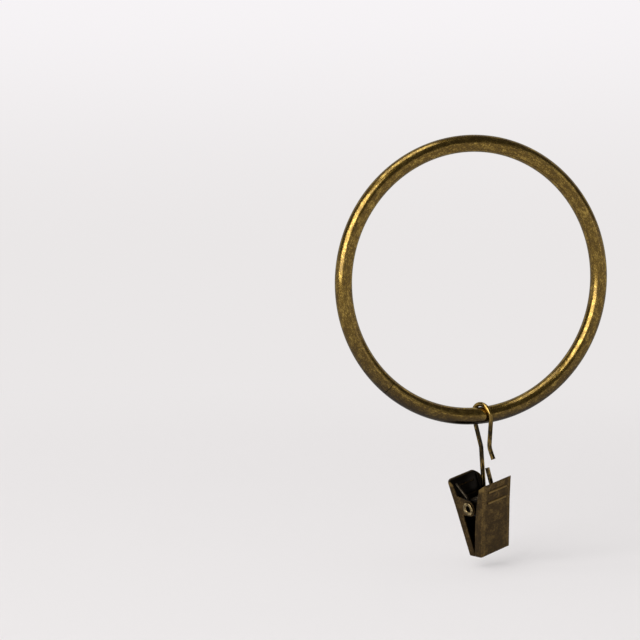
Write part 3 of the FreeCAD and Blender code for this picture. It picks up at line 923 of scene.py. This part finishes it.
@dataclass
class CoilSpring:
    """The torsion spring: a coil beside the hook's eye, and a leg up each lever."""

    stance: Stance
    sweeper: WireSweeper
    wire: float = 0.6
    coil_radius: float = 1.45
    pitch: float = 0.66
    half_turns: int = 11
    from_x: float = -2.56
    bend_radius: float = 1.5
    bend_z: float = 0.9
    leg_end_y: float = 4.229
    leg_end_z: float = 4.2
    end_ease: float = 0.08
    run_step: float = 0.4
    bend_step: float = 7.5
    sides: int = 18
    still_length: float = 0.1

    def to_x(self) -> float:
        """The place along the rivet where the coil ends."""
        return self.from_x + self.half_turns * self.pitch / 2

    def build(self) -> bpy.types.Object:
        """Sweep the spring down its back leg, along the coil and up its front leg.

        Returns:
            The finished spring.
        """
        bend = Bend(self.coil_radius + self.bend_radius, self.bend_z, self.bend_radius, 1)
        start, meets = tangent_run(Bend(self.leg_end_y, self.leg_end_z), bend)
        lead = math.degrees(math.atan2(meets[1] - bend.z, meets[0] - bend.y))
        from_x, to_x = self.from_x, self.to_x()
        along = Vector((1, 0, 0))
        path = Path(Vector((from_x, *start)))
        path.line_to(Vector((from_x, *meets)), self.run_step)
        path.bend_about(Vector((from_x, bend.y, bend.z)), along, 180 - lead, self.bend_step)
        path.line_to(Vector((from_x, self.coil_radius, 0)), self.run_step)
        turns = -180.0 * self.half_turns
        path.bend_about(Vector((from_x, 0, 0)), along, turns, self.bend_step, to_x - from_x)
        path.line_to(Vector((to_x, -self.coil_radius, bend.z)), self.run_step)
        path.bend_about(Vector((to_x, -bend.y, bend.z)), along, 180 - lead, self.bend_step)
        path.line_to(Vector((to_x, -self.leg_end_y, self.leg_end_z)), self.run_step)
        path.place(self.stance.clip_frame())
        wire = self.wire / 2
        return self.sweeper.sweep(
            "coil_spring", path, wire, self.end_ease, self.sides, SPRING_STEEL
        )

    def dress(self, piece: bpy.types.Object) -> None:
        """Let the spring stand for its node.

        Args:
            piece: The finished spring.
        """
        frame = self.stance.clip_frame()
        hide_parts("torsion_spring")
        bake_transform(piece)


@dataclass
class SheetJaw:
    """One folded sheet jaw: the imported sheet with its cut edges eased."""

    stance: Stance
    packed: bpy.types.Object
    node: str
    body: Body
    half_turned: bool
    edge_ease: float = 0.07
    merge_within: float = 0.0002
    flat_below: float = 0.6
    edge_above: float = 38.0
    shade_flat_above: float = 40.0

    def build(self) -> bpy.types.Object:
        """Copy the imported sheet, join its triangles and ease its edges.

        Returns:
            The jaw as a mesh object at the origin, in metres.
        """
        mesh = self.packed.data.copy()
        mesh.name = self.node + "_sheet"
        sheet = bmesh.new()
        sheet.from_mesh(mesh)
        cut = sheet.faces.layers.float.new(CUT)
        bmesh.ops.remove_doubles(sheet, verts=sheet.verts, dist=self.merge_within * MM)
        bmesh.ops.dissolve_limit(
            sheet, angle_limit=math.radians(self.flat_below),
            verts=sheet.verts, edges=sheet.edges,
        )
        sharp = [
            edge for edge in sheet.edges
            if edge.is_manifold and edge.calc_face_angle(0.0) > math.radians(self.edge_above)
        ]
        eased = bmesh.ops.bevel(
            sheet, geom=sharp, offset=self.edge_ease * MM, offset_type="OFFSET", segments=2,
            profile=0.5, affect="EDGES", clamp_overlap=True,
        )
        for face in eased["faces"]:
            face[cut] = 1.0
        bmesh.ops.triangulate(sheet, faces=sheet.faces)
        sheet.to_mesh(mesh)
        sheet.free()
        mesh.materials.clear()
        mesh.materials.append(JAW_PLATE.material())
        mesh.shade_smooth()
        mesh.set_sharp_from_angle(angle=math.radians(self.shade_flat_above))
        self.mark_own(mesh)
        piece = bpy.data.objects.new(self.node + "_sheet", mesh)
        bpy.context.scene.collection.objects.link(piece)
        return piece

    def mark_own(self, mesh: bpy.types.Mesh) -> None:
        """Store each point's place in the jaw's own frame, with its panel at -Y.

        Args:
            mesh: The jaw's mesh, in the part's frame.
        """
        back = self.stance.clip_frame().inverted()
        if self.half_turned:
            back = Matrix.Rotation(math.pi, 4, "Z") @ back
        layer = mesh.attributes.new(OWN, "FLOAT_VECTOR", "POINT")
        for spot, vertex in zip(layer.data, mesh.vertices):
            spot.vector = back @ (vertex.co / MM)

    def dress(self, piece: bpy.types.Object) -> None:
        """Let the sheet stand for its node.

        Args:
            piece: The finished jaw.
        """
        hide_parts(self.node)
        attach(piece, self.body.value)


@dataclass
class HollowRivet:
    """The hollow rivet with a rolled head at each end."""

    stance: Stance
    bore: float = 0.6
    side: float = 1.0
    head: float = 1.35
    neck_x: float = 3.92
    neck_ease: float = 0.02
    end_x: float = 4.27
    mouth_ease: float = 0.3
    arc_step: int = 15
    columns: int = 40
    shade_flat_above: float = 50.0

    def profile(self) -> list[Pair]:
        """Draw the outline of the rivet's right half.

        Returns:
            Places along and out from the axis, from the bore's middle round the head to the tube.
        """
        ease = self.mouth_ease
        roll = (self.end_x - self.neck_x) / 2
        spots = [(0.0, self.bore), (self.end_x - ease, self.bore)]
        for degrees in range(self.arc_step, 91, self.arc_step):
            angle = math.radians(degrees)
            flare = ease * (1 - math.cos(angle))
            spots.append((self.end_x - ease + ease * math.sin(angle), self.bore + flare))
        for degrees in range(90 - self.arc_step, -91, -self.arc_step):
            angle = math.radians(degrees)
            reach = self.head - roll + roll * math.cos(angle)
            spots.append((self.end_x - roll + roll * math.sin(angle), reach))
        spots.append((self.neck_x, self.side + self.neck_ease))
        spots.append((self.neck_x - self.neck_ease, self.side))
        spots.append((0.0, self.side))
        return spots

    def build(self) -> bpy.types.Object:
        """Turn the outline about the rivet's axis and mirror it to the other end.

        Returns:
            The finished rivet.
        """
        half = self.profile()
        outline = half + [(-x, r) for x, r in reversed(half[1:-1])]
        frame = self.stance.clip_frame()
        own: list[Vector] = []
        for column in range(self.columns):
            angle = 2 * math.pi * column / self.columns
            own += [Vector((x, r * math.cos(angle), r * math.sin(angle))) for x, r in outline]
        rows = len(outline)
        faces = []
        for column in range(self.columns):
            here, after = column * rows, (column + 1) % self.columns * rows
            for row in range(rows):
                below = (row + 1) % rows
                faces.append((here + row, after + row, after + below, here + below))
        mesh = bpy.data.meshes.new("hollow_rivet")
        mesh.from_pydata([frame @ spot * MM for spot in own], [], faces)
        layer = mesh.attributes.new(OWN, "FLOAT_VECTOR", "POINT")
        layer.data.foreach_set("vector", [value for spot in own for value in spot])
        shell = bmesh.new()
        shell.from_mesh(mesh)
        bmesh.ops.recalc_face_normals(shell, faces=shell.faces)
        shell.to_mesh(mesh)
        shell.free()
        mesh.materials.append(RIVET_PLATE.material())
        mesh.shade_smooth()
        mesh.set_sharp_from_angle(angle=math.radians(self.shade_flat_above))
        piece = bpy.data.objects.new("hollow_rivet", mesh)
        bpy.context.scene.collection.objects.link(piece)
        return piece

    def dress(self, piece: bpy.types.Object) -> None:
        """Let the turned rivet stand for its node.

        Args:
            piece: The finished rivet.
        """
        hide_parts("pivot_rivet")
        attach(piece, Body.CLIP.value)


@dataclass(frozen=True)
class SoftLamp:
    """A soft rectangular lamp that faces the ring, in metres and watts."""

    name: str
    at: Spot
    size: Pair
    watts: float
    aim: Spot = (0.0, 0.0, -0.01)

    def hang(self) -> None:
        """Hang the lamp at its place and point it at its aim."""
        data = bpy.data.lights.new(self.name, "AREA")
        data.shape = "RECTANGLE"
        data.size, data.size_y = self.size
        data.energy = self.watts
        lamp = bpy.data.objects.new(self.name, data)
        place = Vector(self.at)
        lamp.location = place
        lamp.rotation_euler = (Vector(self.aim) - place).to_track_quat("-Z", "Y").to_euler()
        bpy.context.scene.collection.objects.link(lamp)


@dataclass
class Studio:
    """The pale floor and backdrop, the lamps and the camera, in metres."""

    floor_z: float = -0.058
    floor_ahead: float = 0.9
    cove_radius: float = 0.5
    cove_step: int = 10
    wall_height: float = 2.4
    rim_radius: float = 3.0
    rim_height: float = 0.6
    rim_columns: int = 72
    low_tone: Colour = rgb(234, 231, 231)
    high_tone: Colour = rgb(247, 244, 246)
    high_tone_z: float = 0.18
    dimness: float = 0.14
    near_evenness: float = 0.6
    far_evenness: float = 1.0
    evenness_span: Span = (0.06, 0.32)
    window: SoftLamp = SoftLamp("window", (-0.98, -0.6, 0.5), (1.0, 1.1), 23.0)
    overhead: SoftLamp = SoftLamp("overhead", (-0.35, 0.0, 1.25), (0.8, 0.8), 8.0)
    weak_fill: SoftLamp = SoftLamp("fill", (0.9, -1.0, 0.3), (0.5, 0.8), 0.8)
    world_tone: Colour = (1, 0.99, 0.98, 1)
    world_strength: float = 0.16
    camera_at: Spot = (-0.1461, -0.3708, 0.0264)
    camera_right: Spot = (0.956, -0.294, 0.0)
    camera_ahead: Spot = (0.293, 0.952, -0.086)
    lens: float = 112.5
    sensor: float = 36.0
    nearest_seen: float = 0.01

    def build(self) -> None:
        """Set up the whole studio."""
        paper = self.paper()
        self.sweep(paper)
        self.rim(paper)
        self.light()
        self.camera()

    def hang(
        self, name: str, vertices: list[Spot], faces: list[tuple[int, ...]],
        paper: bpy.types.Material,
    ) -> None:
        """Make one smooth sheet of the set.

        Args:
            name: The sheet's name.
            vertices: Its points.
            faces: Its faces, by the numbers of their points.
            paper: Its material.
        """
        mesh = bpy.data.meshes.new(name)
        mesh.from_pydata(vertices, [], faces)
        mesh.shade_smooth()
        mesh.materials.append(paper)
        sheet = bpy.data.objects.new(name, mesh)
        bpy.context.scene.collection.objects.link(sheet)

    def rim(self, paper: bpy.types.Material) -> None:
        """Stand a low round wall of paper, so that the floor's far edge shows from no side.

        Args:
            paper: The wall's material.
        """
        vertices = []
        faces = []
        for column in range(self.rim_columns):
            angle = 2 * math.pi * column / self.rim_columns
            x, y = self.rim_radius * math.cos(angle), self.rim_radius * math.sin(angle)
            vertices += [(x, y, self.floor_z), (x, y, self.floor_z + self.rim_height)]
            after = (column + 1) % self.rim_columns
            faces.append((2 * column, 2 * column + 1, 2 * after + 1, 2 * after))
        self.hang("pale_rim", vertices, faces, paper)

    def sweep(self, paper: bpy.types.Material) -> None:
        """Lay a floor that curves up into a backdrop.

        Args:
            paper: The floor's material.
        """
        ahead = Vector(self.camera_ahead)
        ahead.z = 0
        ahead.normalize()
        side = Vector((ahead.y, -ahead.x, 0))
        start, cove = self.floor_ahead, self.cove_radius
        rows = [(-self.rim_radius, 0.0), (start, 0.0)]
        for degrees in range(self.cove_step, 91, self.cove_step):
            angle = math.radians(degrees)
            rows.append((start + cove * math.sin(angle), cove * (1 - math.cos(angle))))
        rows.append((start + cove, self.wall_height))
        vertices = []
        for run, up in rows:
            for across in (-self.rim_radius, self.rim_radius):
                spot = ahead * run + side * across
                vertices.append((spot.x, spot.y, self.floor_z + up))
        faces = [(2 * i, 2 * i + 1, 2 * i + 3, 2 * i + 2) for i in range(len(rows) - 1)]
        self.hang("pale_sweep", vertices, faces, paper)

    def paper(self) -> bpy.types.Material:
        """Make pale paper, even to the camera and to gloss, with a soft shadow near the ring.

        Returns:
            The material of the floor, the backdrop and the rim.
        """
        material = bpy.data.materials.new("pale_paper")
        material.use_nodes = True
        tree = material.node_tree
        tree.nodes.clear()
        chain = NodeChain(tree)
        place = chain.add("ShaderNodeTexCoord").outputs["Object"]
        height = chain.step(chain.split(place)["Z"], (self.floor_z, self.high_tone_z))
        colour = chain.blend(height, self.low_tone, self.high_tone)
        lit = chain.blend(self.dimness, colour, (0, 0, 0, 1))
        matt = chain.add("ShaderNodeBsdfDiffuse", Color=lit).outputs["BSDF"]
        even = chain.add("ShaderNodeEmission", Color=colour, Strength=1.0).outputs["Emission"]
        rays = chain.add("ShaderNodeLightPath").outputs
        seen = chain.maths("MAXIMUM", rays["Is Camera Ray"], rays["Is Glossy Ray"])
        seen = chain.maths("MAXIMUM", seen, rays["Is Transmission Ray"])
        share = chain.maths(
            "MULTIPLY_ADD", chain.step(self.distance(chain, place), self.evenness_span),
            self.far_evenness - self.near_evenness, self.near_evenness,
        )
        mixed = chain.add("ShaderNodeMixShader")
        chain.feed(mixed.inputs[0], chain.maths("MULTIPLY", seen, share))
        chain.feed(mixed.inputs[1], matt)
        chain.feed(mixed.inputs[2], even)
        chain.add("ShaderNodeOutputMaterial", Surface=mixed.outputs["Shader"])
        return material

    def distance(self, chain: NodeChain, place: bpy.types.NodeSocket) -> bpy.types.NodeSocket:
        """Find how far a point of the set stands from the ring, seen from above.

        Args:
            chain: The tree being built.
            place: The point.

        Returns:
            The level distance in metres.
        """
        level = chain.add("ShaderNodeVectorMath", {"operation": "MULTIPLY"}, Vector=place)
        level.inputs[1].default_value = (1, 1, 0)
        length = chain.add(
            "ShaderNodeVectorMath", {"operation": "LENGTH"}, Vector=level.outputs["Vector"]
        )
        return length.outputs["Value"]

    def light(self) -> None:
        """Hang a tall soft window, a top lamp and a weak fill in an even grey world."""
        for lamp in (self.window, self.overhead, self.weak_fill):
            lamp.hang()
        world = bpy.data.worlds.new("even_grey")
        bpy.context.scene.world = world
        world.use_nodes = True
        sky = world.node_tree.nodes["Background"]
        sky.inputs["Color"].default_value = self.world_tone
        sky.inputs["Strength"].default_value = self.world_strength

    def camera(self) -> None:
        """Stand the camera where the photograph was taken from."""
        right = Vector(self.camera_right).normalized()
        back = -Vector(self.camera_ahead).normalized()
        up = back.cross(right).normalized()
        right = up.cross(back).normalized()
        data = bpy.data.cameras.new("camera")
        data.lens = self.lens
        data.sensor_width = self.sensor
        data.clip_start = self.nearest_seen
        camera = bpy.data.objects.new("camera", data)
        turn = Matrix((right, up, back)).transposed()
        camera.matrix_world = Matrix.Translation(Vector(self.camera_at)) @ turn.to_4x4()
        bpy.context.scene.collection.objects.link(camera)
        bpy.context.scene.camera = camera


def main() -> None:
    """Load the frame, build and dress every piece, and set up the studio."""
    logging.basicConfig(level=logging.INFO, format="%(message)s")
    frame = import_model()
    nodes = frame["nodes"]
    stance = Stance()
    sweeper = WireSweeper()
    for part in (
        WireRing(stance, sweeper),
        WireHook(stance, sweeper),
        CoilSpring(stance, sweeper),
        SheetJaw(stance, nodes["front_jaw"], "front_jaw", Body.JAW, half_turned=False),
        SheetJaw(stance, nodes["back_jaw"], "back_jaw", Body.CLIP, half_turned=True),
        HollowRivet(stance),
    ):
        piece = part.build()
        part.dress(piece)
        log.info("%s: %d faces", piece.name, len(piece.data.polygons))
    Studio().build()
    bpy.context.scene.view_settings.view_transform = "Standard"


if __name__ == "__main__":
    main()
